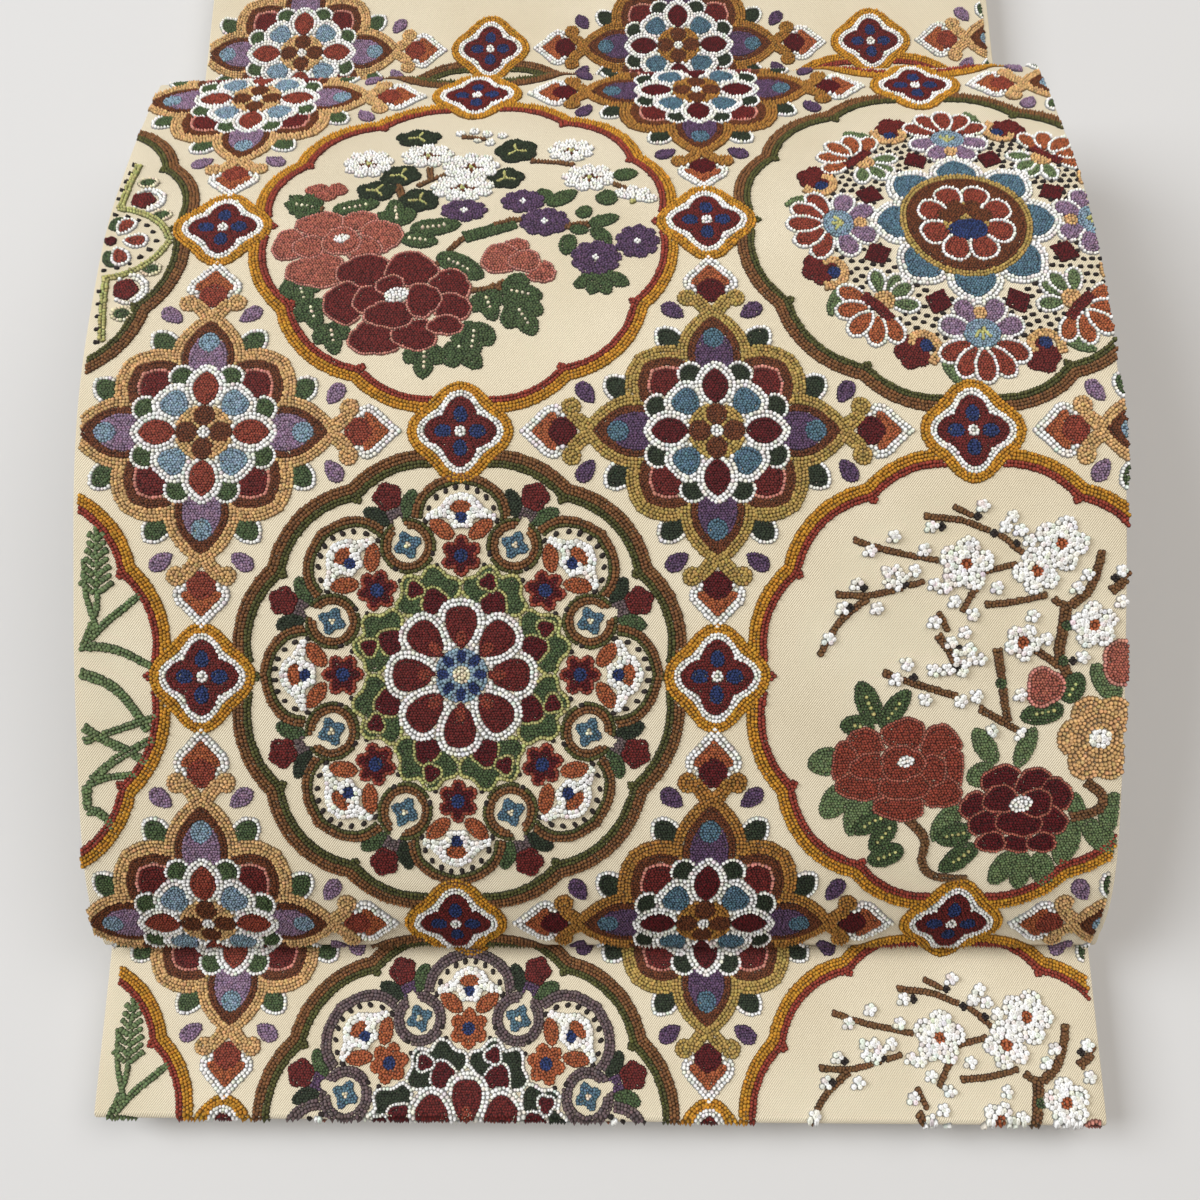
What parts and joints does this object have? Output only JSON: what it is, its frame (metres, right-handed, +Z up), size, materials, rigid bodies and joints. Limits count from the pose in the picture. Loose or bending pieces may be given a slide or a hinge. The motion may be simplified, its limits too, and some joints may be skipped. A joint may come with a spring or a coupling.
{
  "type": "obi sash",
  "caption": "Figured double-cloth sash folded for show: a flat stack with an end flap in front and a hollow, puffed drum of cloth across the top.",
  "frame": {"origin": "on the surface it lies on, under the middle of the whole footprint", "axes": "+Y from the front fold to the rear fold, along the sash; +X across its width, to the right as seen from the front fold; +Z up"},
  "size_m": [0.31, 0.4632, 0.0857],
  "materials": {
    "figured_face": "cream silk twill covered in raised knots of coloured thread",
    "plain_lining": "plain cream silk, slight sheen",
    "folded_cloth": "stacked layers of the same cream sash, seen at their edges"
  },
  "bodies": {
    "root": {"flap_face": "figured_face", "flap_lining": "plain_lining", "drum_face": "figured_face", "drum_lining": "plain_lining", "upper_face": "figured_face", "upper_lining": "plain_lining", "folded_layers": "folded_cloth"}
  },
  "joints": []
}
